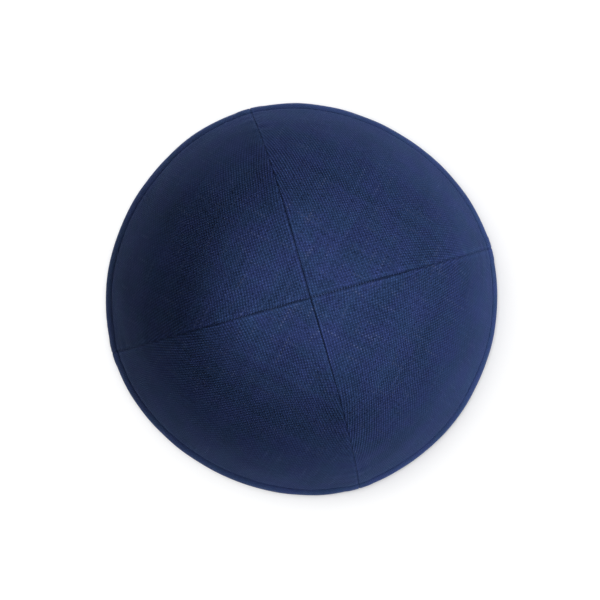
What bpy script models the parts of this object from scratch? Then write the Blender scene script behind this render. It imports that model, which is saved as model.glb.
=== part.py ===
"""A four-panel linen skullcap: four sewn cloth panels and the folded hem below them.

Metres, +Z up. The cap stands on its hem, open side down, with the origin at the middle of
the foot. Seams run down from the crown towards +X, +Y, -X and -Y. A place on the cloth is
given by its azimuth, by how far it lies up the slope from the rim, and by how far it
stands out from the panels' outer face.
"""

from collections import namedtuple

import bmesh
import bpy
import numpy as np

# Overall sizes
CAP_DIAMETER = 0.175
CAP_HEIGHT = 0.065

# Cloth
PANEL_WALL = 0.0012
SEWN_GAP = 0.0003
SEAM_ROLL_DEPTH = 0.0004

# Hem: a lip outside, a fold at the bottom and a turn-up inside the panels
HEM_DEPTH = 0.0080
HEM_BULGE = 0.0007
HEM_SEAM_LUMP = 0.0003
TURN_UP_WALL = 0.0010
TURN_UP_OVERLAP = 0.0020
FOLD_HEIGHT = 0.0015
FOOT_WIDTH = 0.0012

# Colour of the dyed cloth, linear, and its finish
NAVY = (0.024, 0.040, 0.108, 1.0)
CLOTH_ROUGHNESS = 0.9

# Section of the cap along a seam, from the middle of the crown to the rim: a flat crown, a
# soft shoulder and steep sides. Radius is a share of half the diameter, drop a share of the
# height, and hollow how much nearer the axis the middle of a panel lies, as a share of the
# radius there: between the seams a panel is flatter than a round cap would be.
Level = namedtuple("Level", "radius drop hollow")
SECTION = (
    Level(0.000, 0.000, 0.080),
    Level(0.157, 0.012, 0.080),
    Level(0.284, 0.032, 0.080),
    Level(0.395, 0.060, 0.078),
    Level(0.486, 0.106, 0.084),
    Level(0.588, 0.193, 0.084),
    Level(0.700, 0.325, 0.060),
    Level(0.803, 0.480, 0.029),
    Level(0.887, 0.651, 0.017),
    Level(0.951, 0.828, 0.008),
    Level(1.000, 1.000, 0.000),
)

# Where each seam meets the rim: degrees from +X, and reach as a share of half the diameter
Seam = namedtuple("Seam", "azimuth reach")
SEAMS = {
    "right": Seam(-0.4, 1.005),
    "back": Seam(90.0, 1.009),
    "left": Seam(180.3, 1.005),
    "front": Seam(271.2, 1.009),
}

# Each panel's seams, the rim's reach at its middle, and how much of the section's hollow
# it takes: the cap is hand sewn, and no two panels lie quite alike.
Panel = namedtuple("Panel", "first second reach hollow")
PANELS = {
    "panel_back_right": Panel("right", "back", 0.984, 1.0),
    "panel_back_left": Panel("back", "left", 0.996, 0.7),
    "panel_front_left": Panel("left", "front", 0.985, 1.3),
    "panel_front_right": Panel("front", "right", 1.001, 1.0),
}

# Columns across a panel, as shares of the way from its first seam to its second. The
# outermost pair on each side shapes the edge that rolls into the seam.
ROLL_SHARES = (0.000, 0.006, 0.018)
EVEN_SHARES = tuple(np.linspace(0.07, 0.93, 15))
COLUMN_SHARES = ROLL_SHARES + EVEN_SHARES + tuple(1 - share for share in reversed(ROLL_SHARES))
ROLL_DEPTHS = (1.0, 0.3, 0.0)

PANEL_ROWS = 19
SECTION_SAMPLES = 40
SHARP_ANGLE = np.radians(50)


def smooth_section():
    """Rows of radius, drop and hollow on a Catmull-Rom curve through SECTION, level at the crown."""
    points = np.array(SECTION)
    before = points[1] * (-1, 1, 1)
    after = 2 * points[-1] - points[-2]
    points = np.vstack([before, points, after])
    share = np.linspace(0, 1, SECTION_SAMPLES, endpoint=False)[:, None]
    spans = []
    for a, b, c, d in zip(points[:-3], points[1:-2], points[2:-1], points[3:]):
        spans.append(
            b
            + 0.5 * share * (c - a)
            + share**2 * (a - 2.5 * b + 2 * c - 0.5 * d)
            + 0.5 * share**3 * (d - a + 3 * (b - c))
        )
    return np.vstack([*spans, points[-2]])


def seam_azimuths(panel):
    """The azimuths of a panel's two seams, in radians, the second after the first."""
    first, second = SEAMS[panel.first].azimuth, SEAMS[panel.second].azimuth
    return np.radians(first), np.radians(first + (second - first) % 360)


class Shell:
    """The cap's outer face: the section along a seam, shaped across each panel."""

    def __init__(self):
        section = smooth_section() * (CAP_DIAMETER / 2, CAP_HEIGHT, 1)
        self.radius, drop, self.hollow = section.T
        self.height = CAP_HEIGHT - drop
        steps = np.hypot(np.diff(self.radius), np.diff(drop))
        self.from_crown = np.concatenate([[0], np.cumsum(steps)])
        self.length = self.from_crown[-1]
        self.slope = np.arctan2(np.gradient(drop), np.gradient(self.radius))
        self.slope[0] = 0

    def section_at(self, up, out):
        """Radius, height and hollow at a distance up the slope and out from the face."""
        down = self.length - np.asarray(up, float)
        slope = np.interp(down, self.from_crown, self.slope)
        radius = np.interp(down, self.from_crown, self.radius) + out * np.sin(slope)
        height = np.interp(down, self.from_crown, self.height) + out * np.cos(slope)
        hollow = np.interp(down, self.from_crown, self.hollow)
        return radius, height, hollow

    def place(self, panel, azimuth, radius, height, hollow):
        """World points of a panel's cloth, or of the hem below it.

        The radius is cut by the hollow, most at the panel's middle and not at its seams,
        and by the rim's outline, whose share grows with the radius.
        """
        first, second = seam_azimuths(panel)
        across = np.clip(2 * (azimuth - first) / (second - first) - 1, -1, 1)
        seam_reach = np.where(across < 0, SEAMS[panel.first].reach, SEAMS[panel.second].reach)
        eased = (1 - np.cos(np.pi * across)) / 2
        reach = panel.reach + eased * (seam_reach - panel.reach)
        grown = np.clip(2 * radius / CAP_DIAMETER, 0, 1) ** 2
        flattened = 1 - panel.hollow * hollow * (1 - across**2)
        placed = radius * flattened * (1 + grown * (reach - 1))
        height = np.broadcast_to(height, placed.shape)
        return np.stack([placed * np.cos(azimuth), placed * np.sin(azimuth), height], axis=-1)


def mirrored(values):
    """The edge values at both ends of a row of columns, with noughts between."""
    return np.concatenate([values, np.zeros(len(EVEN_SHARES)), values[::-1]])


def cloth_material(name):
    material = bpy.data.materials.new(name + "_navy_linen")
    material.use_nodes = True
    shader = material.node_tree.nodes["Principled BSDF"]
    shader.inputs["Base Color"].default_value = NAVY
    shader.inputs["Roughness"].default_value = CLOTH_ROUGHNESS
    shader.inputs["Metallic"].default_value = 0
    return material


def add_solid(name, points, faces):
    """A smooth-shaded object with one closed body, its faces turned outwards."""
    body = bmesh.new()
    corners = [body.verts.new(point) for point in points]
    for face in faces:
        body.faces.new([corners[index] for index in face])
    bmesh.ops.recalc_face_normals(body, faces=body.faces)
    mesh = bpy.data.meshes.new(name)
    body.to_mesh(mesh)
    body.free()
    mesh.shade_smooth()
    mesh.set_sharp_from_angle(angle=SHARP_ANGLE)
    mesh.materials.append(cloth_material(name))
    cap_piece = bpy.data.objects.new(name, mesh)
    bpy.context.scene.collection.objects.link(cap_piece)
    return cap_piece


def panel_face(shell, panel, up, out):
    """One face of a panel: rows down from its tip, columns from its first seam to its second."""
    first, second = seam_azimuths(panel)
    radius, height, hollow = shell.section_at(up[:, None], out)
    edge_radius = radius[:, :1]
    inset = np.arcsin(np.clip(SEWN_GAP / 2 / edge_radius, 0, np.sin((second - first) / 2)))
    share = np.array(COLUMN_SHARES)
    azimuth = first + inset + share * (second - first - 2 * inset)
    return shell.place(panel, azimuth, radius, height, hollow)


def add_panel(shell, name):
    """A gore of cloth that ends in a point at the crown and above the hem's lip."""
    panel = PANELS[name]
    first, second = seam_azimuths(panel)
    tip_radius = SEWN_GAP / 2 / np.sin((second - first) / 2)
    tip = shell.length - np.interp(tip_radius, shell.radius, shell.from_crown)
    up = np.linspace(tip, HEM_DEPTH + SEWN_GAP, PANEL_ROWS + 1)
    roll = -SEAM_ROLL_DEPTH * mirrored(ROLL_DEPTHS)
    outer = panel_face(shell, panel, up, roll[None, :])
    inner = panel_face(shell, panel, up, np.full_like(roll, -PANEL_WALL)[None, :])

    columns = len(COLUMN_SHARES)
    rows = PANEL_ROWS
    grid = 2 + np.arange(rows * columns).reshape(rows, columns)
    sheets = grid, grid + grid.size
    tips = (0, 1)
    points = np.vstack([outer[:1, 0], inner[:1, 0], outer[1:].reshape(-1, 3), inner[1:].reshape(-1, 3)])
    faces = []
    for apex, sheet in zip(tips, sheets):
        faces += [(apex, a, b) for a, b in zip(sheet[0, :-1], sheet[0, 1:])]
        for upper, lower in zip(sheet[:-1], sheet[1:]):
            faces += zip(upper[:-1], lower[:-1], lower[1:], upper[1:])
    outside, inside = sheets
    for column in (0, -1):
        faces.append((tips[0], outside[0, column], inside[0, column], tips[1]))
        edge = zip(outside[:-1, column], outside[1:, column], inside[1:, column], inside[:-1, column])
        faces += edge
    faces += zip(outside[-1, :-1], outside[-1, 1:], inside[-1, 1:], inside[-1, :-1])
    return add_solid(name, points, faces)


def hem_section(shell):
    """Rows of the hem's section from the lip's top, down round the fold and up the turn-up.

    Each row holds a radius, a height, a hollow and how far it follows the lump over a seam.
    """
    behind = PANEL_WALL + SEWN_GAP
    inner = behind + TURN_UP_WALL
    rim_slope = shell.slope[-1]
    outer_fold = FOLD_HEIGHT / np.sin(rim_slope)
    inner_fold = outer_fold + inner / np.tan(rim_slope)
    turn_up = max(HEM_DEPTH, inner_fold) + TURN_UP_OVERLAP
    lip = HEM_DEPTH - outer_fold

    foot_middle = CAP_DIAMETER / 2 - inner / 2 / np.sin(rim_slope)
    foot_outer = foot_middle + FOOT_WIDTH / 2
    foot_inner = foot_middle - FOOT_WIDTH / 2

    def row(up, out, lump=0.0):
        return (*shell.section_at(up, out), lump)

    def rounded(side, foot_radius):
        """A point on the quarter round between a side of the fold and the foot."""
        radius, height, _, lump = side
        across = foot_radius + (radius - foot_radius) * np.sin(np.pi / 4)
        return across, height * (1 - np.cos(np.pi / 4)), 0.0, lump

    outer_side = row(outer_fold, 0.6 * HEM_BULGE, 0.7)
    inner_side = row(inner_fold, -inner)
    rows = [
        row(HEM_DEPTH, 0.0, 0.3),
        row(outer_fold + 0.85 * lip, 0.7 * HEM_BULGE, 0.8),
        row(outer_fold + 0.55 * lip, HEM_BULGE, 1.0),
        row(outer_fold + 0.25 * lip, 0.95 * HEM_BULGE, 1.0),
        outer_side,
        rounded(outer_side, foot_outer),
        (foot_outer, 0.0, 0.0, 0.0),
        (foot_inner, 0.0, 0.0, 0.0),
        rounded(inner_side, foot_inner),
        inner_side,
        row(turn_up, -inner),
        row(turn_up, -behind),
        row(HEM_DEPTH, -behind),
    ]
    return np.array(rows)


def add_hem(shell):
    """The folded hem, one ring that follows the outline, lifted a little over each seam."""
    radius, height, hollow, follows = hem_section(shell).T
    lump = HEM_SEAM_LUMP * mirrored(ROLL_DEPTHS)[:-1, None]
    share = np.array(COLUMN_SHARES[:-1])[:, None]
    stretches = []
    for panel in PANELS.values():
        first, second = seam_azimuths(panel)
        azimuth = first + share * (second - first)
        stretches.append(shell.place(panel, azimuth, radius + lump * follows, height, hollow))
    points = np.concatenate(stretches)

    turns, rows = points.shape[:2]
    index = np.arange(turns * rows).reshape(turns, rows)
    along = np.roll(index, -1, axis=0)
    across = np.roll(index, -1, axis=1)
    corner = np.roll(along, -1, axis=1)
    faces = np.stack([index, along, corner, across], axis=-1).reshape(-1, 4)
    return add_solid("rim_hem", points.reshape(-1, 3), faces)


def main():
    for old in list(bpy.data.objects):
        bpy.data.objects.remove(old)
    shell = Shell()
    for name in PANELS:
        add_panel(shell, name)
    add_hem(shell)


main()
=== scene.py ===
"""Looks of a four-panel linen skullcap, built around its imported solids.

Metres, +Z up, in the solids' own frame. The cap stands on its hem, open side down. Seams
run from the crown towards +X, +Y, -X and -Y. A place on the cloth is given by its azimuth,
by how far it lies up the slope from the rim, and by how far it stands out from the outer
face; its thread coordinates are its place on the flat gore that the panel was cut from.
"""

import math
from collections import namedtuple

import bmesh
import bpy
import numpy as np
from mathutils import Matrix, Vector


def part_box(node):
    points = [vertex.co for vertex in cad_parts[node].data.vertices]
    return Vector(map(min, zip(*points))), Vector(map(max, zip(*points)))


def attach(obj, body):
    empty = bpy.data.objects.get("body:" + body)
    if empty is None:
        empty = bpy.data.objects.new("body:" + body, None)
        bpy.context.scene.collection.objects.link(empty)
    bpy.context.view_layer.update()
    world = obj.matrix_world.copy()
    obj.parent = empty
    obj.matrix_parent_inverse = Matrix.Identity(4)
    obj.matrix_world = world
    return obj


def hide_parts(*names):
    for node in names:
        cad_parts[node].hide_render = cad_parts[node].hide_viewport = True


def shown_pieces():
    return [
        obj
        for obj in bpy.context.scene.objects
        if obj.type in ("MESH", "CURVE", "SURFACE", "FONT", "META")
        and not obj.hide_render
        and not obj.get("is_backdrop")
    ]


bl_info = {
    "name": "Linen Skullcap",
    "version": (1, 0, 0),
    "blender": (4, 5, 0),
    "location": "View3D > Sidebar > Skullcap",
    "description": "Cloth, seams and stitching of a four-panel linen skullcap, on a studio stage",
    "category": "Add Mesh",
}

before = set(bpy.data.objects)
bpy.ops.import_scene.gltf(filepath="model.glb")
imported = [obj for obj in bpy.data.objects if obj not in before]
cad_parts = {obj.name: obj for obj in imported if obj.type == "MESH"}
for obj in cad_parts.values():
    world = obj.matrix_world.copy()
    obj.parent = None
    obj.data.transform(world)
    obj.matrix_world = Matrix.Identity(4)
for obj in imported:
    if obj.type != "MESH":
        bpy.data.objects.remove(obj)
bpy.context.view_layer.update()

BODY = "root"

# Form of the cap, with the same shares as its solids. Radius is a share of half the
# diameter, drop a share of the height, and hollow how much nearer the axis the middle of
# a panel lies, as a share of the radius there.
Level = namedtuple("Level", "radius drop hollow")
SECTION = (
    Level(0.000, 0.000, 0.080),
    Level(0.157, 0.012, 0.080),
    Level(0.284, 0.032, 0.080),
    Level(0.395, 0.060, 0.078),
    Level(0.486, 0.106, 0.084),
    Level(0.588, 0.193, 0.084),
    Level(0.700, 0.325, 0.060),
    Level(0.803, 0.480, 0.029),
    Level(0.887, 0.651, 0.017),
    Level(0.951, 0.828, 0.008),
    Level(1.000, 1.000, 0.000),
)

# Where each seam meets the rim, in degrees from +X, its reach as a share of half the
# diameter, and how wide its painted shade and highlight are beside the others
Seam = namedtuple("Seam", "azimuth reach line")
SEAMS = {
    "right": Seam(-0.4, 1.005, 1.35),
    "back": Seam(90.0, 1.009, 0.8),
    "left": Seam(180.3, 1.005, 1.2),
    "front": Seam(271.2, 1.009, 0.85),
}

# Each panel's seams, the rim's reach at its middle, how much of the hollow it takes, and
# where it was cut from the cloth, in threads
Panel = namedtuple("Panel", "first second reach hollow cut")
PANELS = {
    "panel_back_right": Panel("right", "back", 0.984, 1.0, (150, 40)),
    "panel_back_left": Panel("back", "left", 0.996, 0.7, (431, 212)),
    "panel_front_left": Panel("left", "front", 0.985, 1.3, (702, 377)),
    "panel_front_right": Panel("front", "right", 1.001, 1.0, (989, 530)),
}
HEM = "rim_hem"

# Hair's breadth that keeps two sewn pieces from sharing a face
TOUCH = 0.000001

# Columns of a panel's grid: a close set beside the seam, then even ones to the middle
EDGE_COLUMNS = 14
EDGE_WIDTH = 0.003
EVEN_COLUMNS = 60
PANEL_ROWS = 175

# Points worked out between two levels of the section
SECTION_SAMPLES = 60

# Columns of the hem's ring beside each seam, and the step between the even ones
HEM_EDGE_COLUMNS = 9
HEM_COLUMN_STEP = 0.00062

# Rows of the hem's section: down the lip, round the outer and the inner half of the fold,
# up the inside, round the turn-up's edge, and down behind it
LIP_ROWS, FOLD_ROWS, INSIDE_ROWS, EDGE_ROWS, BACK_ROWS = 15, 6, 12, 5, 3
INSIDE_START = LIP_ROWS + 2 * FOLD_ROWS
INSIDE_END = INSIDE_START + INSIDE_ROWS
INNER_STITCH_ROW = INSIDE_START + 8

# How far the seam allowance lifts the inner face, behind a panel and on the hem
PANEL_ALLOWANCE = 0.00045
HEM_ALLOWANCE = 0.00040

# Relief beside a seam: the slope over which its edge gets shallower, and by what share;
# how far pinches and small waves reach, and where the waves begin; the slope over which
# they grow from the crown; and the width of the allowance's cut edge
SHALLOWING, SHALLOWED = 0.075, 0.7
PINCH_REACH, WAVE_REACH, WAVE_START = 0.0009, 0.0045, 0.0008
CROWN_CALM = 0.012
CUT_EDGE = 0.0005

# Rows of the hem lower than these keep their height, and take no broad unevenness
LEVEL_FOOT, EVEN_FOOT = 0.0004, 0.001

# Power of the slope's cosine by which a gore's angles shrink when it is laid flat
BIAS_GIVE = 0.4

# How far a dressed piece may stray from the box of its solid
FIT = 0.0015

# Seeds of the random draws. A panel takes four, from its own one on; the hem takes one for
# each panel's relief and one for the seam allowance there.
COCKLE_SEED, STITCH_SEED = 11, 5
PANEL_SEEDS = (7, 17, 27, 37)
HEM_RELIEF_SEEDS = (40, 45, 50, 55)
HEM_STRIP_SEEDS = (60, 61, 62, 63)

# How far the stitches arch over the cloth, how much of a stitch shows between its holes,
# and how unevenly they are set, along the line in stitches and across it in metres
TOPSTITCH_ARCH = 0.00012
SEAM_STITCH_ARCH = 0.00004
STITCH_SHOWN = (0.09, 0.91)
STITCH_STRAY = 0.02
LINE_STRAY = 0.00004

# Half the length of a seam stitch across the seam, and along it; how far the first lies
# from the crown and the last from the topstitching; and how deep, in widths of the fold
SEAM_STITCH_ACROSS, SEAM_STITCH_ALONG = 0.00035, 0.0003
SEAM_STITCH_START, SEAM_STITCH_STOP = 0.004, 0.001
SEAM_STITCH_SUNK = 0.62

# Noises in the shaders, in waves per metre
SWAY_SCALE = 70.0
MOTTLE_SCALE = 45.0
PATCH_SCALE = 90.0
GRAIN_SCALE = 780.0
PLY_SCALE = 2600.0

# Slubs: how far apart two threads lie in their noise, how slowly it changes along one, and
# the noise at which a slub begins and is full
SLUB_APART, SLUB_ALONG = 3.71, 0.045
SLUB_FROM, SLUB_FULL = 0.62, 0.76

# Stage, in metres unless said: half the floor's width and its gap under the hem, pixels of
# the picture, how many of them the cap lies right of and above the middle, the sensor in
# millimetres, and how far the camera sees
FLOOR_HALF, FLOOR_GAP = 3.0, 0.0002
PICTURE_PIXELS = 600
AIM_RIGHT, AIM_ABOVE = 2.2, 0.9
SENSOR_WIDTH = 36
CAMERA_REACH = 10


def size(name, default, description):
    """A length that a user can change in the sidebar."""
    return bpy.props.FloatProperty(
        name=name, default=default, description=description, unit="LENGTH", precision=5, min=0
    )


def tilt(name, degrees, description):
    """An angle that a user can change in the sidebar."""
    return bpy.props.FloatProperty(
        name=name, default=math.radians(degrees), description=description, subtype="ANGLE"
    )


def settings_group(kind, name, description):
    """A group of settings within another."""
    return bpy.props.PointerProperty(type=kind, name=name, description=description)


def colour(name, default, description):
    """A linear colour that a user can change in the sidebar."""
    return bpy.props.FloatVectorProperty(
        name=name, default=default, description=description, subtype="COLOR", size=3, min=0, max=1
    )


class CapSizes(bpy.types.PropertyGroup):
    """Sizes of the cap and of its sewing."""

    diameter: size("Diameter", 0.175, "Across the rim, over the cloth")
    height: size("Height", 0.065, "From the table to the crown")
    wall: size("Wall", 0.0012, "Thickness of the linen and its backing")
    hem_depth: size("Hem depth", 0.0080, "From the fold up to the topstitching")
    hem_bulge: size("Hem bulge", 0.0006, "How far the hem's welt stands out")
    hem_gap: size("Hem gap", 0.0003, "Between the panels and the turn-up")
    turn_up_wall: size("Turn-up wall", 0.0010, "Thickness of the cloth turned inside")
    turn_up_overlap: size("Turn-up overlap", 0.0020, "Turn-up above the topstitching")
    fold_height: size("Fold height", 0.0015, "Height of the rounded fold at the rim")
    foot_width: size("Foot width", 0.0012, "Flat of the fold where the cap stands")
    seam_fold: size("Seam fold", 0.0006, "Width of the cloth's edge where it turns into a seam")
    seam_depth: size("Seam depth", 0.0010, "How deep the cloth's edge turns into a seam")
    allowance: size("Seam allowance", 0.006, "Width of the cloth pressed open behind a seam")
    allowance_lift: size("Allowance lift", 0.00022, "How far the allowance lifts the face")
    seam_stitch: size("Seam stitch", 0.0024, "Length of one stitch along a seam")
    hem_stitch: size("Hem stitch", 0.0027, "Length of one topstitch")
    stitch_valley: size("Stitch valley", 0.00014, "How deep the topstitching pulls the cloth in")
    thread_width: size("Sewing thread", 0.00024, "Thickness of the sewing thread")
    pucker: size("Pucker", 0.00010, "Height of the small waves beside a seam")
    cockle: size("Cockle", 0.00022, "Height of the broad unevenness of the cloth")
    thread_pitch: size("Thread pitch", 0.00086, "From one thread of the weave to the next")


class CapColours(bpy.types.PropertyGroup):
    """Colours of the cloth, the thread and the stage."""

    navy: colour("Navy", (0.0225, 0.0385, 0.124), "The dyed linen")
    navy_patch: colour("Navy patch", (0.0195, 0.0415, 0.112), "Where the dye took a little greener")
    slub: colour("Slub", (0.052, 0.074, 0.160), "The thick pale threads in the weave")
    thread: colour("Thread", (0.017, 0.030, 0.095), "The sewing thread")
    floor: colour("Floor", (0.93, 0.93, 0.93), "The studio floor")


class CapShape:
    """The cap's outer face: the section along a seam, shaped across each panel.

    The section is a Catmull-Rom curve through SECTION, level at the crown, with its
    distance from the crown, its slope and its hollow.
    """

    def __init__(self, sizes):
        self.sizes = sizes
        section = smooth_section() * (sizes.diameter / 2, sizes.height, 1)
        self.radius, drop, self.hollow = section.T
        self.height = sizes.height - drop
        steps = np.hypot(np.diff(self.radius), np.diff(drop))
        self.from_crown = np.concatenate([[0], np.cumsum(steps)])
        self.length = self.from_crown[-1]
        self.slope = np.arctan2(np.gradient(drop), np.gradient(self.radius))
        self.slope[0] = 0
        self.rim_slope = self.slope[-1]

    def section_at(self, up, out):
        """Radius, height and hollow at a distance up the slope and out from the face."""
        down = self.length - np.asarray(up, float)
        slope = np.interp(down, self.from_crown, self.slope)
        radius = np.interp(down, self.from_crown, self.radius) + out * np.sin(slope)
        height = np.interp(down, self.from_crown, self.height) + out * np.cos(slope)
        hollow = np.interp(down, self.from_crown, self.hollow)
        return radius, height, hollow

    def place(self, panel, azimuth, radius, height, hollow):
        """World points: the radius is cut by the panel's hollow, which fades to its seams
        as one less the square of the way across, and by the rim's eased outline."""
        first, second = seam_azimuths(panel)
        across = np.clip(2 * (azimuth - first) / (second - first) - 1, -1, 1)
        seam_reach = np.where(across < 0, SEAMS[panel.first].reach, SEAMS[panel.second].reach)
        eased = (1 - np.cos(np.pi * across)) / 2
        reach = panel.reach + eased * (seam_reach - panel.reach)
        grown = np.clip(2 * radius / self.sizes.diameter, 0, 1) ** 2
        flattened = 1 - panel.hollow * hollow * (1 - across**2)
        placed = radius * flattened * (1 + grown * (reach - 1))
        height = np.broadcast_to(height, placed.shape)
        return np.stack([placed * np.cos(azimuth), placed * np.sin(azimuth), height], axis=-1)

    def flat_gore(self, panel, azimuth, down):
        """Thread coordinates in metres: where a point lies on the gore before sewing.

        The gore is unrolled like a strip of cones along its middle line. The cloth gives a
        little on the bias, so the angle from the middle shrinks by turn = cos(slope)^0.4
        only. With R = radius / turn, across is R sin(angle) and along is
        down - R (1 - cos(angle)). The panel's cut is added to both.
        """
        first, second = seam_azimuths(panel)
        on_face = np.minimum(down, self.length)
        slope = np.interp(on_face, self.from_crown, self.slope)
        radius = np.interp(on_face, self.from_crown, self.radius)
        turn = np.cos(slope) ** BIAS_GIVE
        cone = radius / turn
        angle = (azimuth - (first + second) / 2) * turn
        place = np.stack([cone * np.sin(angle), down - cone * (1 - np.cos(angle))], axis=-1)
        return place + np.array(panel.cut) * self.sizes.thread_pitch


def smooth_section():
    """Rows of radius, drop and hollow on a Catmull-Rom curve through SECTION."""
    points = np.array(SECTION)
    before = points[1] * (-1, 1, 1)
    after = 2 * points[-1] - points[-2]
    points = np.vstack([before, points, after])
    share = np.linspace(0, 1, SECTION_SAMPLES, endpoint=False)[:, None]
    spans = []
    for a, b, c, d in zip(points[:-3], points[1:-2], points[2:-1], points[3:]):
        spans.append(
            b
            + 0.5 * share * (c - a)
            + share**2 * (a - 2.5 * b + 2 * c - 0.5 * d)
            + 0.5 * share**3 * (d - a + 3 * (b - c))
        )
    return np.vstack([*spans, points[-2]])


def seam_azimuths(panel):
    """The azimuths of a panel's two seams, in radians, the second after the first."""
    first, second = SEAMS[panel.first].azimuth, SEAMS[panel.second].azimuth
    return np.radians(first), np.radians(first + (second - first) % 360)


def ease(share):
    """Nought to one with level ends, for shares from nought to one."""
    share = np.clip(share, 0, 1)
    return share * share * (3 - 2 * share)


def waves(distance, seed, lengths):
    """A sum of sines of the given wavelengths with seeded phases, scaled to about one."""
    phases = np.random.default_rng(seed).uniform(0, 2 * np.pi, len(lengths))
    total = sum(
        np.sin(2 * np.pi * distance / length + phase) for length, phase in zip(lengths, phases)
    )
    return total / math.sqrt(len(lengths))


def cockle(points, sizes):
    """Broad unevenness: a sum of plane waves, 17 to 60 mm long and the higher the longer.

    Each runs along a bearing drawn at random, plus 0.6 of the height.
    """
    rng = np.random.default_rng(COCKLE_SEED)
    total = np.zeros(points.shape[:-1])
    lengths = (0.060, 0.043, 0.034, 0.026, 0.021, 0.017)
    for length in lengths:
        bearing, phase = rng.uniform(0, 2 * np.pi, 2)
        along = points[..., 0] * np.cos(bearing) + points[..., 1] * np.sin(bearing)
        along = along + 0.6 * points[..., 2]
        total += (length / lengths[0]) * np.sin(2 * np.pi * along / length + phase)
    return sizes.cockle * total / 2


def seam_relief(edge, down, sizes, seed):
    """How far the face stands out beside a seam, by the distance from it and along it.

    The edge turns into the seam on a quarter oval, which gets shallower down the slope;
    the pressed allowance lifts the cloth in a low step; each stitch pinches it; and small
    waves die away from it.
    """
    fold = sizes.seam_fold
    short = np.clip(1 - edge / fold, 0, 1)
    depth = sizes.seam_depth * (1 - SHALLOWED * ease(down / SHALLOWING))
    turned = -depth * (1 - np.sqrt(np.maximum(1 - short**2.4, 0)))
    beyond = (edge - 0.7 * sizes.allowance) / (0.5 * sizes.allowance)
    lifted = sizes.allowance_lift * (1 - ease(beyond))
    stitch = np.cos(np.pi * down / sizes.seam_stitch) ** 4
    pinched = -0.9 * sizes.pucker * stitch * np.exp(-edge / PINCH_REACH)
    small = waves(down, seed, (0.0052, 0.0071, 0.0094, 0.0131))
    puckered = sizes.pucker * small * np.exp(-edge / WAVE_REACH) * ease(edge / WAVE_START)
    grown = ease(down / CROWN_CALM)
    return turned + lifted * grown + (pinched + puckered) * grown


def valley_relief(above, along, sizes):
    """How far the topstitching pulls the face in, by the distance from the stitch line.

    A soft valley that deepens at each needle hole along the line.
    """
    width, hole_reach = 0.0021, 0.0008
    shape = (1 - np.clip(np.abs(above) / width, 0, 1)) ** 2
    holes = np.cos(np.pi * along / sizes.hem_stitch) ** 6
    near = np.exp(-np.abs(above) / hole_reach)
    return -sizes.stitch_valley * (0.8 * shape + 0.3 * holes * near)


def allowance_strip(edge, down, sizes, seed):
    """One on the seam allowance inside and nought beyond its slightly wavy cut edge."""
    cut = sizes.allowance * (1 + 0.05 * waves(down, seed, (0.009, 0.017, 0.031)))
    cut = cut * ease((down + 0.002) / CROWN_CALM)
    return 1 - ease((edge - cut) / CUT_EDGE)


def rim_distance(sizes, azimuth):
    """Distance along the stitch line, with a whole number of stitches in the round."""
    stitches = round(math.pi * sizes.diameter / sizes.hem_stitch)
    return azimuth / (2 * np.pi) * stitches * sizes.hem_stitch


def add_mesh(name, points, faces, places=None, sewing=None, sharp=50):
    """A smooth-shaded mesh object, with thread coordinates in its UV map named weave.

    Its attribute named sewing holds the distance to the nearer seam, divided on the panels
    by how wide that seam's painted shade is; the distance up from the rim; and the way
    across the panel from -1 to 1.
    """
    mesh = bpy.data.meshes.new(name)
    mesh.from_pydata(points.tolist(), [], faces)
    mesh.validate()
    if places is not None:
        corners = np.empty(len(mesh.loops), np.int32)
        mesh.loops.foreach_get("vertex_index", corners)
        layer = mesh.uv_layers.new(name="weave")
        layer.data.foreach_set("uv", places[corners].astype(np.float32).ravel())
        attribute = mesh.attributes.new("sewing", "FLOAT_VECTOR", "POINT")
        attribute.data.foreach_set("vector", sewing.astype(np.float32).ravel())
    mesh.shade_smooth()
    mesh.set_sharp_from_angle(angle=math.radians(sharp))
    piece = bpy.data.objects.new(name, mesh)
    bpy.context.scene.collection.objects.link(piece)
    return piece


def quads(index):
    """The quads between neighbouring rows and columns of a grid of vertex numbers."""
    grid = np.stack([index[:-1, :-1], index[1:, :-1], index[1:, 1:], index[:-1, 1:]], axis=-1)
    return grid.reshape(-1, 4)


def dress(piece, node, material):
    """Gives a piece its finish and its body, and lets it stand for its CAD node, if any."""
    piece.data.materials.append(material)
    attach(piece, BODY)
    if node:
        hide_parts(node)


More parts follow.
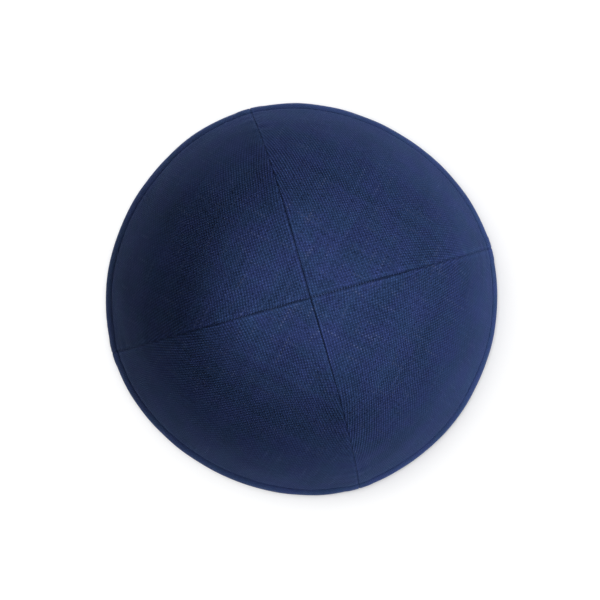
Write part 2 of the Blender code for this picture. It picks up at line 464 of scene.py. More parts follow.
def add_panel(shape, name, seed):
    """A gore of cloth: an outer and an inner face on one grid of rows and columns.

    Rows run down the slope from the tip to the topstitching. Columns keep their distance
    from the nearer seam, and draw together evenly where the gore is narrow. The outer face
    stands out by the seams' relief, the stitches' valley and the broad unevenness, and the
    inner face lies a wall behind it, thicker over the seam allowances.
    """
    sizes, panel = shape.sizes, PANELS[name]
    first, second = seam_azimuths(panel)
    half = (second - first) / 2

    tip = 4 * TOUCH
    down = np.linspace(tip, shape.length - sizes.hem_depth - TOUCH, PANEL_ROWS + 1)[:, None]
    up = shape.length - down
    radius, _, _ = shape.section_at(up, 0)
    half_width = np.maximum(radius * half - TOUCH, 0)
    close = EDGE_WIDTH * (np.arange(EDGE_COLUMNS) / EDGE_COLUMNS) ** 2
    even = np.linspace(EDGE_WIDTH, half * sizes.diameter / 2, EVEN_COLUMNS + 1)
    distance = np.concatenate([close, even])
    share = np.linspace(0, 1, len(distance))
    edge = np.minimum(distance, share * half_width)
    edge = np.hstack([edge, edge[:, -2::-1]])
    angle = (edge + TOUCH) / radius
    columns = edge.shape[1]
    near_first = np.arange(columns) < len(distance)
    azimuth = np.where(near_first, first + angle, second - angle)

    base = shape.place(panel, azimuth, *shape.section_at(up, np.zeros(columns)))
    uneven = cockle(base, sizes)
    relief = np.where(
        near_first,
        seam_relief(edge, down, sizes, seed),
        seam_relief(edge, down, sizes, seed + 1),
    )
    above = up - sizes.hem_depth
    relief = relief + uneven + valley_relief(above, rim_distance(sizes, azimuth), sizes)
    strip = np.where(
        near_first,
        allowance_strip(edge, down, sizes, seed + 2),
        allowance_strip(edge, down, sizes, seed + 3),
    )
    depth = -sizes.wall - PANEL_ALLOWANCE * strip + uneven
    outer = shape.place(panel, azimuth, *shape.section_at(up, relief))
    inner = shape.place(panel, azimuth, *shape.section_at(up, depth))
    places = shape.flat_gore(panel, azimuth, np.broadcast_to(down, azimuth.shape))

    turn = (azimuth - first) / half - 1
    # The distance to the nearer seam is divided by how wide that seam's painted shade and highlight
    # are.
    line = np.where(near_first, SEAMS[panel.first].line, SEAMS[panel.second].line)
    sewing = np.stack([edge / line, np.broadcast_to(up, edge.shape), turn], axis=-1)

    grid = 2 + np.arange(PANEL_ROWS * columns).reshape(PANEL_ROWS, columns)
    below = grid + grid.size
    points = np.vstack(
        [outer[:1, 0], inner[:1, 0], outer[1:].reshape(-1, 3), inner[1:].reshape(-1, 3)]
    )
    flat = np.vstack([places[0, :1], places[0, :1], *[places[1:].reshape(-1, 2)] * 2])
    sewing = np.vstack([sewing[0, :1], sewing[0, :1], *[sewing[1:].reshape(-1, 3)] * 2])
    walls = [
        np.stack([below[:-1, 0], below[1:, 0], grid[1:, 0], grid[:-1, 0]], axis=-1),
        np.stack([grid[:-1, -1], grid[1:, -1], below[1:, -1], below[:-1, -1]], axis=-1),
        np.stack([grid[-1, :-1], below[-1, :-1], below[-1, 1:], grid[-1, 1:]], axis=-1),
    ]
    faces = np.concatenate([quads(grid), quads(below)[:, ::-1], *walls]).tolist()
    faces += [(0, a, b) for a, b in zip(grid[0, :-1], grid[0, 1:])]
    faces += [(1, b, a) for a, b in zip(below[0, :-1], below[0, 1:])]
    faces.append((0, 1, int(below[0, 0]), int(grid[0, 0])))
    faces.append((1, 0, int(grid[0, -1]), int(below[0, -1])))
    return add_mesh("cloth_" + name.removeprefix("panel_"), points, faces, flat, sewing)


def hem_rows(shape):
    """The hem's section, row by row: radius, height, hollow, distance along the cloth from
    the stitch line, height of a lip row above that line, how far a row takes part in the
    inner face, and height of an inside row above the line.

    The lip swells by a quarter sine over the share of it named swell, the fold is two
    quarter ellipses with the flat foot between them, and the turn-up ends in a rounded
    edge and comes back behind. Rows off the lip, or off the inside, get a height that lies
    beyond the valley.
    """
    sizes = shape.sizes
    behind = sizes.wall + sizes.hem_gap
    inner = behind + sizes.turn_up_wall
    slope = shape.rim_slope
    outer_fold = sizes.fold_height / math.sin(slope)
    inner_fold = outer_fold + inner / math.tan(slope)
    turn_up = max(sizes.hem_depth, inner_fold) + sizes.turn_up_overlap

    share = np.linspace(0, 1, LIP_ROWS)
    lip_up = sizes.hem_depth - TOUCH + share * (outer_fold - sizes.hem_depth)
    swell = 0.62
    lip_out = sizes.hem_bulge * np.sin(np.pi * np.clip(share, 0, swell) / swell / 2)
    lip_out = lip_out * (1 - 0.4 * ease((share - 0.55) / 0.45))
    lip = shape.section_at(lip_up, lip_out)

    middle = sizes.diameter / 2 - inner / 2 / math.sin(slope)
    turn = np.linspace(0, np.pi / 2, FOLD_ROWS + 1)[1:]
    start = shape.section_at(outer_fold, lip_out[-1])
    foot = middle + sizes.foot_width / 2
    outer_radius = foot + (start[0] - foot) * np.cos(turn)
    outer_height = start[1] * (1 - np.sin(turn))
    start = shape.section_at(inner_fold, -inner)
    foot = middle - sizes.foot_width / 2
    inner_radius = foot + (start[0] - foot) * np.cos(turn[::-1])
    inner_height = start[1] * (1 - np.sin(turn[::-1]))

    rounding = 0.0004
    inside_up = np.linspace(inner_fold, turn_up - rounding, INSIDE_ROWS)
    inside = shape.section_at(inside_up, np.full(INSIDE_ROWS, -inner))
    round_turn = np.linspace(0, np.pi, EDGE_ROWS + 1)[1:]
    round_out = -(inner + behind) / 2 - (inner - behind) / 2 * np.cos(round_turn)
    rounded = shape.section_at(turn_up - rounding + rounding * np.sin(round_turn), round_out)
    back_up = np.linspace(turn_up - 2.5 * rounding, sizes.hem_depth - TOUCH, BACK_ROWS)
    back = shape.section_at(back_up, np.full(BACK_ROWS, -behind))

    radius = np.concatenate([lip[0], outer_radius, inner_radius, inside[0], rounded[0], back[0]])
    height = np.concatenate([lip[1], outer_height, inner_height, inside[1], rounded[1], back[1]])
    hollow = np.concatenate([lip[2], np.zeros(2 * FOLD_ROWS), inside[2], rounded[2], back[2]])
    travelled = np.concatenate([[0], np.cumsum(np.hypot(np.diff(radius), np.diff(height)))])
    above = np.full(radius.shape, -1.0)
    above[:LIP_ROWS] = lip_up - sizes.hem_depth
    inward = np.zeros(radius.shape)
    inward[INSIDE_START:INSIDE_END] = 1
    inward[INSIDE_END:INSIDE_END + 2] = (0.9, 0.5)
    inside_line = np.full(radius.shape, 1.0)
    inside_line[INSIDE_START:INSIDE_END] = inside_up - sizes.hem_depth
    return radius, height, hollow, travelled, above, inward, inside_line


def add_hem(shape):
    """The folded hem: one ring, its section carried round the outline, panel by panel.

    Each row moves square to the slope by the seams' relief and the stitches' valley, and
    sideways by the broad unevenness. The seams' relief fades out round the fold.
    """
    sizes = shape.sizes
    radius, height, hollow, travelled, above, inward, inside_line = hem_rows(shape)
    lip = above > -1
    fades = np.where(lip, 1.0, 0.0)
    fades[LIP_ROWS:LIP_ROWS + 4] = (0.85, 0.6, 0.35, 0.1)
    down = shape.length - sizes.hem_depth + travelled
    slope = shape.rim_slope
    points, places, faces, sewing, count = [], [], [], [], 0
    seeds = zip(HEM_RELIEF_SEEDS, HEM_STRIP_SEEDS)
    for panel, (relief_seed, strip_seed) in zip(PANELS.values(), seeds):
        first, second = seam_azimuths(panel)
        width = sizes.diameter / 2 * (second - first)
        close = EDGE_WIDTH * (np.arange(HEM_EDGE_COLUMNS) / HEM_EDGE_COLUMNS) ** 2
        even = np.arange(EDGE_WIDTH, width / 2, HEM_COLUMN_STEP)
        distance = np.concatenate([close, even])
        distance = np.concatenate([distance, [width / 2], width - distance[::-1]])
        azimuth = (first + distance / (sizes.diameter / 2))[:, None]
        edge = np.minimum(distance, width - distance)[:, None]
        along = rim_distance(sizes, azimuth)

        seams = seam_relief(edge, down, sizes, relief_seed)
        relief = seams + valley_relief(above, along, sizes)
        out = np.where(lip, relief, seams) * fades
        strip = allowance_strip(edge, down, sizes, strip_seed)
        lift = inward * (HEM_ALLOWANCE * strip + valley_relief(inside_line, along, sizes))
        moved = (out - lift) * math.sin(slope)
        raised = (out - lift) * math.cos(slope) * (height > LEVEL_FOOT)
        ring = shape.place(panel, azimuth, radius + moved, height + raised, hollow)
        base = shape.place(panel, azimuth, radius, height, hollow)
        uneven = cockle(base, sizes) * (height > EVEN_FOOT)
        ring[..., 0] += uneven * np.cos(azimuth) * math.sin(slope)
        ring[..., 1] += uneven * np.sin(azimuth) * math.sin(slope)

        turns, rows = ring.shape[:2]
        index = count + np.arange(turns * rows).reshape(turns, rows)
        count += index.size
        closed = np.hstack([index, index[:, :1]])
        faces.append(quads(closed)[:, ::-1])
        points.append(ring.reshape(-1, 3))
        flat = shape.flat_gore(panel, *np.broadcast_arrays(azimuth, down))
        places.append(flat.reshape(-1, 2))
        from_rim = np.where(lip, sizes.hem_depth + above, 0)
        turn = 2 * (azimuth - first) / (second - first) - 1
        around = np.broadcast_arrays(edge, from_rim, turn)
        sewing.append(np.stack(around, axis=-1).reshape(-1, 3))
    faces = np.concatenate(faces).tolist()
    piece = add_mesh("hem_cloth", np.vstack(points), faces, np.vstack(places), np.vstack(sewing))
    joined = bmesh.new()
    joined.from_mesh(piece.data)
    bmesh.ops.remove_doubles(joined, verts=joined.verts, dist=TOUCH)
    bmesh.ops.recalc_face_normals(joined, faces=joined.faces)
    joined.to_mesh(piece.data)
    joined.free()
    return piece


def thread_bars(starts, ends, normals, width, arch, sides=7, rings=7):
    """Short round threads, one from each start to each end, arched along the normal.

    Ring by ring the middle follows start + t (end - start) + 4 t (1 - t) arch normal, and
    the radius is half the width times the square root of 1 - (2 t - 1)^6, which rounds
    both ends. The thread is pressed to three quarters of its width along the normal.
    """
    t = (1 - np.cos(np.linspace(0, np.pi, rings))) / 2
    turn = np.arange(sides) / sides * 2 * np.pi
    run = ends - starts
    ahead = run / np.linalg.norm(run, axis=1, keepdims=True)
    beside = np.cross(normals, ahead)
    middle = starts[:, None] + t[None, :, None] * run[:, None]
    middle = middle + (4 * t * (1 - t) * arch)[None, :, None] * normals[:, None]
    girth = width / 2 * np.sqrt(np.clip(1 - (2 * t - 1) ** 6, 0.02, 1))
    ring = (
        np.cos(turn)[None, None, :, None] * beside[:, None, None]
        + 0.75 * np.sin(turn)[None, None, :, None] * normals[:, None, None]
    )
    points = middle[:, :, None] + girth[None, :, None, None] * ring
    count = len(starts)
    index = np.arange(count * rings * sides).reshape(count, rings, sides)
    around = np.roll(index, -1, axis=2)
    sidewalls = np.stack([index[:, :-1], around[:, :-1], around[:, 1:], index[:, 1:]], axis=-1)
    caps = index[:, 0, ::-1].tolist() + index[:, -1].tolist()
    return points.reshape(-1, 3), sidewalls.reshape(-1, 4).tolist() + caps


def surface_points(shape, azimuths, up, out):
    """World points at azimuths that may lie in any panel, with one up and out for each.

    They rise and sink with the cloth's broad unevenness.
    """
    points = np.empty((len(azimuths), 3))
    for panel in PANELS.values():
        first, second = seam_azimuths(panel)
        turned = first + np.mod(azimuths - first, 2 * np.pi)
        inside = turned < second
        level = shape.place(panel, turned, *shape.section_at(up, 0 * out))
        raised = out + cockle(level, shape.sizes)
        placed = shape.place(panel, turned, *shape.section_at(up, raised))
        points[inside] = placed[inside]
    return points


def square_to_cloth(shape, azimuths, up, out):
    """Unit normals of the cloth, from each place to one a millimetre further out."""
    here = surface_points(shape, azimuths, up, out)
    ahead = surface_points(shape, azimuths, up, out + 0.001) - here
    return ahead / np.linalg.norm(ahead, axis=1, keepdims=True)


def allowance_under(shape, azimuths):
    """How much of a seam allowance lies under the hem's inner stitches at each azimuth."""
    sizes = shape.sizes
    travelled = hem_rows(shape)[3]
    down = shape.length - sizes.hem_depth + travelled[INNER_STITCH_ROW]
    strips = np.zeros(len(azimuths))
    for panel, seed in zip(PANELS.values(), HEM_STRIP_SEEDS):
        first, second = seam_azimuths(panel)
        turned = np.mod(azimuths - first, 2 * np.pi)
        edge = np.minimum(turned, second - first - turned) * sizes.diameter / 2
        inside = turned < second - first
        strips[inside] = allowance_strip(edge, down, sizes, seed)[inside]
    return strips


def add_topstitching(shape):
    """Two rows of stitches round the hem, one outside in the valley and one inside."""
    sizes = shape.sizes
    count = round(math.pi * sizes.diameter / sizes.hem_stitch)
    holes = (np.arange(count) + 0.5) / count * 2 * np.pi
    rng = np.random.default_rng(STITCH_SEED)
    holes = holes + rng.normal(0, STITCH_STRAY, count) * 2 * np.pi / count
    step = np.mod(np.roll(holes, -1) - holes, 2 * np.pi)
    middle = holes + 0.5 * step
    behind = sizes.wall + sizes.hem_gap + sizes.turn_up_wall
    outside = np.full(count, -0.75 * sizes.stitch_valley)
    inside = -behind + 0.6 * sizes.stitch_valley - HEM_ALLOWANCE * allowance_under(shape, middle)
    points, faces = [], []
    for out, side in ((outside, 1), (inside, -1)):
        up = np.full(count, sizes.hem_depth) + rng.normal(0, LINE_STRAY, count)
        start = surface_points(shape, holes + STITCH_SHOWN[0] * step, up, out)
        end = surface_points(shape, holes + STITCH_SHOWN[1] * step, up, out)
        normal = side * square_to_cloth(shape, middle, up, out)
        bars, walls = thread_bars(start, end, normal, sizes.thread_width, TOPSTITCH_ARCH)
        offset = sum(len(block) for block in points)
        points.append(bars)
        faces += [[corner + offset for corner in face] for face in walls]
    return add_mesh("topstitching", np.vstack(points), faces, sharp=180)


def add_seam_stitches(shape):
    """Small slanting bars of thread across the bottom of each seam, a stitch apart."""
    sizes = shape.sizes
    starts, ends, normals = [], [], []
    for seam in SEAMS.values():
        azimuth = math.radians(seam.azimuth)
        last = shape.length - sizes.hem_depth - SEAM_STITCH_STOP
        down = np.arange(SEAM_STITCH_START, last, sizes.seam_stitch)
        up = shape.length - down
        out = np.full(len(down), -SEAM_STITCH_SUNK * sizes.seam_fold)
        across = SEAM_STITCH_ACROSS / shape.section_at(up, out)[0]
        starts.append(surface_points(shape, azimuth - across, up + SEAM_STITCH_ALONG, out))
        ends.append(surface_points(shape, azimuth + across, up - SEAM_STITCH_ALONG, out))
        normals.append(square_to_cloth(shape, np.full(len(down), azimuth), up, out))
    starts, ends, normals = np.vstack(starts), np.vstack(ends), np.vstack(normals)
    width = sizes.thread_width
    points, faces = thread_bars(starts, ends, normals, width, SEAM_STITCH_ARCH, rings=5)
    return add_mesh("seam_stitching", points, faces, sharp=180)


class Value:
    """A number in a shader, so that its maths reads as a plain expression."""

    def __init__(self, shader, socket):
        self.shader = shader
        self.socket = socket

    def maths(self, operation, *others):
        values = dict(enumerate((self, *others)))
        return self.shader.node("ShaderNodeMath", {"operation": operation}, values).number("Value")

    def __add__(self, other):
        return self.maths("ADD", other)

    __radd__ = __add__

    def __mul__(self, other):
        return self.maths("MULTIPLY", other)

    __rmul__ = __mul__

    def __sub__(self, other):
        return self.maths("SUBTRACT", other)

    def __rsub__(self, other):
        return self * -1 + other

    def __truediv__(self, other):
        return self.maths("DIVIDE", other)

    def __pow__(self, other):
        return self.maths("POWER", other)

    def __abs__(self):
        return self.maths("ABSOLUTE")

    def sin(self):
        return self.maths("SINE")

    def floor(self):
        return self.maths("FLOOR")

    def between(self, low, high):
        """Nought below low, one above high, smooth between."""
        settings = {"interpolation_type": "SMOOTHSTEP", "clamp": True}
        values = {"Value": self, "From Min": low, "From Max": high}
        return self.shader.node("ShaderNodeMapRange", settings, values).number("Result")


class Node:
    """A shader node, whose outputs are read as numbers or as sockets."""

    def __init__(self, shader, node):
        self.shader = shader
        self.node = node

    def number(self, output):
        return Value(self.shader, self.node.outputs[output])

    def socket(self, output):
        return self.node.outputs[output]


class Shader:
    """A material and the one method that adds its nodes."""

    def __init__(self, name):
        self.material = bpy.data.materials.new(name)
        self.material.use_nodes = True
        self.tree = self.material.node_tree
        self.tree.nodes.clear()

    def node(self, kind, settings=None, values=None):
        """Adds a node, sets its settings first and then its sockets' values or links."""
        node = self.tree.nodes.new(kind)
        for name, setting in (settings or {}).items():
            setattr(node, name, setting)
        for key, value in (values or {}).items():
            value = value.socket if isinstance(value, Value) else value
            if isinstance(value, bpy.types.NodeSocket):
                self.tree.links.new(value, node.inputs[key])
            else:
                node.inputs[key].default_value = value
        return Node(self, node)

    def vector(self, x, y, z=0.0):
        return self.node("ShaderNodeCombineXYZ", values={"X": x, "Y": y, "Z": z}).socket("Vector")

    def noise(self, vector, scale, detail=2.0, roughness=0.5):
        values = {"Vector": vector, "Scale": scale, "Detail": detail, "Roughness": roughness}
        return self.node("ShaderNodeTexNoise", {"noise_dimensions": "3D"}, values).number("Fac")

    def random(self, number):
        settings, values = {"noise_dimensions": "1D"}, {"W": number}
        return self.node("ShaderNodeTexWhiteNoise", settings, values).number("Value")

    def mix(self, share, low, high, blend="MIX"):
        """A mix of two colours."""
        settings = {"data_type": "RGBA", "blend_type": blend}
        return self.node("ShaderNodeMix", settings, {"Factor": share, 6: low, 7: high}).socket(2)

    def finish(self, colour, roughness, bump, sheen):
        """The Principled surface of a cloth or thread.

        Its bump is a height, a distance and a strength; its sheen a weight, a roughness
        and a tint.
        """
        values = dict(zip(("Height", "Distance", "Strength"), bump))
        normal = self.node("ShaderNodeBump", values=values).socket("Normal")
        sheen_weight, sheen_roughness, sheen_tint = sheen
        surface = self.node(
            "ShaderNodeBsdfPrincipled",
            values={
                "Base Color": colour,
                "Roughness": roughness,
                "Normal": normal,
                "Specular IOR Level": 0.12,
                "Specular Tint": (0.35, 0.5, 1.0, 1.0),
                "Sheen Weight": sheen_weight,
                "Sheen Roughness": sheen_roughness,
                "Sheen Tint": sheen_tint,
            },
        )
        self.node("ShaderNodeOutputMaterial", values={"Surface": surface.socket("BSDF")})
        return self.material


def opaque(colour):
    return (*colour, 1.0)


def navy_linen(sizes, colours):
    """Plain-weave linen: threads over and under, uneven in tone, with pale slubs.

    Warp and weft count threads across and along the gore. Low on the slopes the weave gets
    plainer, and one diagonal of it shows more than the other, a painted shade of the threads'
    relief. Painted shade darkens the seams' grooves, and painted highlights lighten the cloth
    beside them and the hem below the topstitching.
    """
    shader = Shader("navy_linen")
    place = shader.node("ShaderNodeUVMap", {"uv_map": "weave"}).socket("UV")
    split = shader.node("ShaderNodeSeparateXYZ", values={"Vector": place})
    across, along = split.number("X"), split.number("Y")
    sway = shader.noise(place, SWAY_SCALE, 1.0) - 0.5
    swing = shader.noise(shader.vector(along, across, 0.7), SWAY_SCALE, 1.0) - 0.5
    warp = across / sizes.thread_pitch + sway * 1.6
    weft = along / sizes.thread_pitch + swing * 1.6

    warp_wave = (warp * math.pi).sin()
    weft_wave = (weft * math.pi).sin()
    crossing = abs(warp_wave * weft_wave) ** 0.6

    sewing = shader.node("ShaderNodeAttribute", {"attribute_name": "sewing"}).socket("Vector")
    split = shader.node("ShaderNodeSeparateXYZ", values={"Vector": sewing})
    edge, up, turn = split.number("X"), split.number("Y"), split.number("Z")
    steep = 1 - up.between(0.035, 0.085)
    plain = 0.25 + 0.75 * up.between(0.026, 0.062)
    falling = ((warp - weft) * math.pi + math.pi / 2).sin()
    rising = ((warp + weft) * math.pi + math.pi / 2).sin()
    # Painted shade: low on the slopes one diagonal of the weave is drawn stronger than the other
    # across each panel, standing in for the light on the threads' relief.
    leaning = 0.5 + 0.25 * steep * turn
    checker = leaning * falling - (1 - leaning) * rising

    warp_tone = shader.random(warp.floor())
    weft_tone = shader.random(weft.floor() + 537.0)
    warp_run = shader.vector(warp.floor() * SLUB_APART, weft * SLUB_ALONG)
    weft_run = shader.vector(warp * SLUB_ALONG, weft.floor() * SLUB_APART, 5.0)
    warp_slub = shader.noise(warp_run, 1.0, 1.0).between(SLUB_FROM, SLUB_FULL)
    weft_slub = shader.noise(weft_run, 1.0, 1.0).between(SLUB_FROM, SLUB_FULL)
    over = checker.between(-0.25, 0.25)
    slub = over * warp_slub + (1 - over) * weft_slub
    tone = over * warp_tone + (1 - over) * weft_tone
    mottle = shader.noise(place, MOTTLE_SCALE, 3.0)
    fibre = shader.noise(shader.vector(warp * 3.0, weft * 3.0), 1.0, 2.0, 0.7)
    grain = shader.noise(place, GRAIN_SCALE, 1.0) - 0.5

    # Painted shade: the cloth is darkened along each seam's groove, where its shadow falls,
    # strongly near the crown and faintly at the rim.
    painted_seam_line = 1 - edge.between(0.00012, 0.00054)
    painted_seam_shade = painted_seam_line * (0.10 + 0.54 * up.between(0.045, 0.105))
    # Painted highlight: a narrow band just beside each seam's groove is lightened, where the raised
    # cloth catches the light.
    seam_fold = edge.between(0.0005, 0.0009) * (1 - edge.between(0.0011, 0.0020))
    woven = 0.24 * crossing + 0.45 * checker + 0.3 * (tone - 0.5) + 0.35 * fibre + 0.75 * grain
    light = 0.86 + plain * (woven - 0.24) + 0.45 * (mottle - 0.5) + 0.15 * grain + 0.15 * seam_fold
    # Painted highlight: the hem below the topstitching is lightened 1.35 times, as if its welt and
    # fold caught more light.
    light = light * (1 - painted_seam_shade) * (1.35 - 0.35 * up.between(0.0068, 0.0080))

    patches = shader.noise(shader.vector(across, along, 3.0), PATCH_SCALE, 2.0)
    patches = patches.between(0.35, 0.65)
    dyed = shader.mix(patches, opaque(colours.navy), opaque(colours.navy_patch))
    shade = shader.mix(slub * (0.1 + 0.6 * plain), dyed, opaque(colours.slub))
    grey = shader.vector(light, light, light)
    lit = shader.mix(1.0, shade, grey, "MULTIPLY")
    height = plain * (0.6 * crossing + 0.7 * checker) + slub * 0.5 + tone * 0.2 + fibre * 0.25
    bump, sheen = (height, 0.00025, 1.0), (0.30, 0.3, (0.22, 0.40, 1.0, 1.0))
    return shader.finish(lit, 0.82 + 0.12 * fibre, bump, sheen)


def sewing_thread(sizes, colours):
    """Twisted sewing thread, with fine slanting plies."""
    shader = Shader("navy_thread")
    place = shader.node("ShaderNodeTexCoord").socket("Object")
    plies = shader.noise(place, PLY_SCALE, 2.0)
    light = opaque([1.6 * part for part in colours.thread])
    lit = shader.mix(plies, opaque(colours.thread), light)
    bump, sheen = (plies, 0.00005, 0.5), (0.1, 0.4, (0.6, 0.7, 1.0, 1.0))
    return shader.finish(lit, 0.6 + 0.15 * plies, bump, sheen)


def cap_material(name, make, settings):
    """The material of that name, made the first time it is asked for."""
    return bpy.data.materials.get(name) or make(settings.sizes, settings.colours)


def check_fit(piece, node):
    """Raises if a piece strays from the box of the solid that it stands for."""
    low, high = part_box(node)
    points = np.empty(len(piece.data.vertices) * 3, np.float32)
    piece.data.vertices.foreach_get("co", points)
    points = points.reshape(-1, 3)
    stray = max(np.abs(points.min(0) - low).max(), np.abs(points.max(0) - high).max())
    if stray > FIT:
        raise RuntimeError(f"{piece.name} strays {1000 * stray:.1f} mm from {node}")


class StageSettings(bpy.types.PropertyGroup):
    """The camera and the lights."""

    lean: tilt("Lean", 2.9, "Of the camera from straight above")
    lean_towards: tilt("Lean towards", 191.0, "In the picture, from its right")
    roll: tilt("Roll", 15.55, "Of the cap in the picture")
    distance: size("Distance", 0.9, "From the camera to the middle of the rim")
    picture_width: size("Picture width", 0.2682, "Seen across the picture at the rim")


class CapSettings(bpy.types.PropertyGroup):
    """Everything that the panel in the sidebar shows."""

    sizes: settings_group(CapSizes, "Sizes", "Sizes of the cap")
    colours: settings_group(CapColours, "Colours", "Colours of the cap")
    stage: settings_group(StageSettings, "Stage", "Camera and lights")


class SKULLCAP_OT_panels(bpy.types.Operator):
    """Adds the four panels of linen"""

    bl_idname = "skullcap.panels"
    bl_label = "Add panels"

    def execute(self, context):
        settings = context.scene.skullcap
        shape = CapShape(settings.sizes)
        linen = cap_material("navy_linen", navy_linen, settings)
        for name, seed in zip(PANELS, PANEL_SEEDS):
            piece = add_panel(shape, name, seed)
            check_fit(piece, name)
            dress(piece, name, linen)
        return {"FINISHED"}


class SKULLCAP_OT_hem(bpy.types.Operator):
    """Adds the folded hem"""

    bl_idname = "skullcap.hem"
    bl_label = "Add hem"

    def execute(self, context):
        settings = context.scene.skullcap
        piece = add_hem(CapShape(settings.sizes))
        check_fit(piece, HEM)
        dress(piece, HEM, cap_material("navy_linen", navy_linen, settings))
        return {"FINISHED"}


class SKULLCAP_OT_stitching(bpy.types.Operator):
    """Adds the topstitching and the stitches in the seams"""

    bl_idname = "skullcap.stitching"
    bl_label = "Add stitching"

    def execute(self, context):
        settings = context.scene.skullcap
        shape = CapShape(settings.sizes)
        thread = cap_material("navy_thread", sewing_thread, settings)
        dress(add_topstitching(shape), None, thread)
        dress(add_seam_stitches(shape), None, thread)
        return {"FINISHED"}


# Lights: bearing in the picture and height in degrees, distance from the middle of the rim
# in metres, spread in degrees, strength, tint, and whether the light falls on the cap or
# the floor
Lamp = namedtuple("Lamp", "kind bearing height distance spread strength tint falls_on")
DAYLIGHT = (0.96, 0.94, 1.0)
WARM = (1.0, 0.89, 0.84)
WHITE = (1.0, 1.0, 1.0)
LAMPS = {
    "window_light": Lamp("SUN", 5.0, 33.0, 1.0, 55.0, 1.03, DAYLIGHT, "cap"),
    "window_top": Lamp("SUN", 5.0, 60.0, 1.0, 40.0, 0.64, DAYLIGHT, "cap"),
    "window_back": Lamp("SUN", 52.0, 25.0, 1.0, 40.0, 1.12, DAYLIGHT, "cap"),
    "window_front": Lamp("SUN", -45.0, 25.0, 1.0, 40.0, 0.90, DAYLIGHT, "cap"),
    "crown_spot": Lamp("SPOT", 0.0, 90.0, 1.0, 6.8, 26.5, WARM, "cap"),
    "floor_dome": Lamp("SUN", 0.0, 90.0, 1.0, 140.0, 2.32, WHITE, "floor"),
    "floor_left": Lamp("SUN", 160.0, 50.0, 1.0, 60.0, 1.25, WHITE, "floor"),
    "floor_back": Lamp("SUN", 75.0, 55.0, 1.0, 60.0, 0.85, WHITE, "floor"),
}

# Strength of the world as a light, and where the camera sees it
SKY_GLOW, BACKDROP_GLOW = 0.0, 1.0


def add_floor(settings):
    """The white floor, a hair's breadth under the hem."""
    corners = np.array([(-1, -1, 0), (1, -1, 0), (1, 1, 0), (-1, 1, 0)]) * FLOOR_HALF
    floor = add_mesh("studio_floor", corners - (0, 0, FLOOR_GAP), [(0, 1, 2, 3)])
    shader = Shader("studio_floor")
    tint = opaque(settings.colours.floor)
    values = {"Base Color": tint, "Roughness": 0.9, "Specular IOR Level": 0.1}
    surface = shader.node("ShaderNodeBsdfPrincipled", values=values)
    shader.node("ShaderNodeOutputMaterial", values={"Surface": surface.socket("BSDF")})
    floor.data.materials.append(shader.material)
    floor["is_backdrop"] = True
    return floor


def add_lamps(scene, roll, collections):
    """The lights, each turned to the middle of the rim and falling on its own collection."""
    for name, lamp in LAMPS.items():
        light = bpy.data.lights.new(name, lamp.kind)
        light.energy = lamp.strength
        light.color = lamp.tint
        if lamp.kind == "SUN":
            light.angle = math.radians(lamp.spread)
        else:
            light.spot_size = math.radians(lamp.spread)
            light.spot_blend = 1
        holder = bpy.data.objects.new(name, light)
        holder.visible_camera = False
        scene.collection.objects.link(holder)
        bearing = math.radians(lamp.bearing) - roll
        height = math.radians(lamp.height)
        level = math.cos(height)
        way = Vector((level * math.cos(bearing), level * math.sin(bearing), math.sin(height)))
        turned = way.to_track_quat("Z", "Y").to_matrix().to_4x4()
        holder.matrix_world = Matrix.Translation(way * lamp.distance) @ turned
        holder.light_linking.receiver_collection = collections[lamp.falls_on]


def add_air(scene):
    """The world: white to the camera, and dark as a light."""
    world = bpy.data.worlds.new("studio_air")
    world.use_nodes = True
    nodes, links = world.node_tree.nodes, world.node_tree.links
    seen = nodes.new("ShaderNodeLightPath")
    glow = nodes.new("ShaderNodeMix")
    glow.inputs["A"].default_value = SKY_GLOW
    glow.inputs["B"].default_value = BACKDROP_GLOW
    links.new(seen.outputs["Is Camera Ray"], glow.inputs["Factor"])
    nodes["Background"].inputs["Color"].default_value = (1, 1, 1, 1)
    links.new(glow.outputs["Result"], nodes["Background"].inputs["Strength"])
    scene.world = world


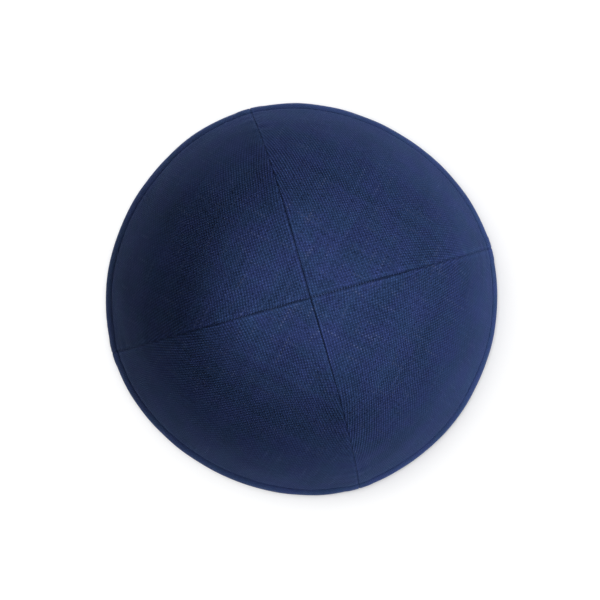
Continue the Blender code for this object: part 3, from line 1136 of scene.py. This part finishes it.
def add_camera(scene, stage):
    """The camera, nearly straight above. Back is the way from the middle of the rim to it:
    +Z leant towards its place in the picture."""
    camera_data = bpy.data.cameras.new("camera")
    camera = bpy.data.objects.new("camera", camera_data)
    scene.collection.objects.link(camera)
    right = Vector((math.cos(-stage.roll), math.sin(-stage.roll), 0))
    upward = Vector((0, 0, 1)).cross(right)
    lean = math.sin(stage.lean)
    back = (
        right * lean * math.cos(stage.lean_towards)
        + upward * lean * math.sin(stage.lean_towards)
        + Vector((0, 0, math.cos(stage.lean)))
    )
    side = upward.cross(back).normalized()
    top = back.cross(side)
    turned = Matrix((side, top, back)).transposed().to_4x4()
    pixel = stage.picture_width / PICTURE_PIXELS
    aim = -side * AIM_RIGHT * pixel - top * AIM_ABOVE * pixel
    camera.matrix_world = Matrix.Translation(aim + back * stage.distance) @ turned
    camera_data.sensor_width = SENSOR_WIDTH
    camera_data.lens = SENSOR_WIDTH * stage.distance / stage.picture_width
    camera_data.clip_end = CAMERA_REACH
    scene.camera = camera


class SKULLCAP_OT_stage(bpy.types.Operator):
    """Adds the floor, the soft lights and the camera"""

    bl_idname = "skullcap.stage"
    bl_label = "Add stage"

    def execute(self, context):
        scene, settings = context.scene, context.scene.skullcap
        scene.view_settings.view_transform = "Standard"
        scene.view_settings.look = "None"
        floor = add_floor(settings)
        collections = {}
        for name, members in {"cap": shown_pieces(), "floor": [floor]}.items():
            collections[name] = bpy.data.collections.new("lit_" + name)
            for member in members:
                collections[name].objects.link(member)
        add_lamps(scene, settings.stage.roll, collections)
        add_air(scene)
        add_camera(scene, settings.stage)
        return {"FINISHED"}


class SKULLCAP_PT_sidebar(bpy.types.Panel):
    """Lists the sizes, the colours and the steps that build the cap"""

    bl_idname = "SKULLCAP_PT_sidebar"
    bl_label = "Skullcap"
    bl_space_type = "VIEW_3D"
    bl_region_type = "UI"
    bl_category = "Skullcap"

    def draw(self, context):
        settings = context.scene.skullcap
        for group in (settings.sizes, settings.colours, settings.stage):
            box = self.layout.box()
            for name in group.__annotations__:
                box.prop(group, name)
        for operator in OPERATORS:
            self.layout.operator(operator.bl_idname)


OPERATORS = (SKULLCAP_OT_panels, SKULLCAP_OT_hem, SKULLCAP_OT_stitching, SKULLCAP_OT_stage)
CLASSES = (CapSizes, CapColours, StageSettings, CapSettings, *OPERATORS, SKULLCAP_PT_sidebar)


def register():
    for kind in CLASSES:
        bpy.utils.register_class(kind)
    bpy.types.Scene.skullcap = bpy.props.PointerProperty(type=CapSettings)


def unregister():
    del bpy.types.Scene.skullcap
    for kind in reversed(CLASSES):
        bpy.utils.unregister_class(kind)


def main():
    register()
    bpy.ops.skullcap.panels()
    bpy.ops.skullcap.hem()
    bpy.ops.skullcap.stitching()
    bpy.ops.skullcap.stage()


if __name__ == "__main__":
    main()
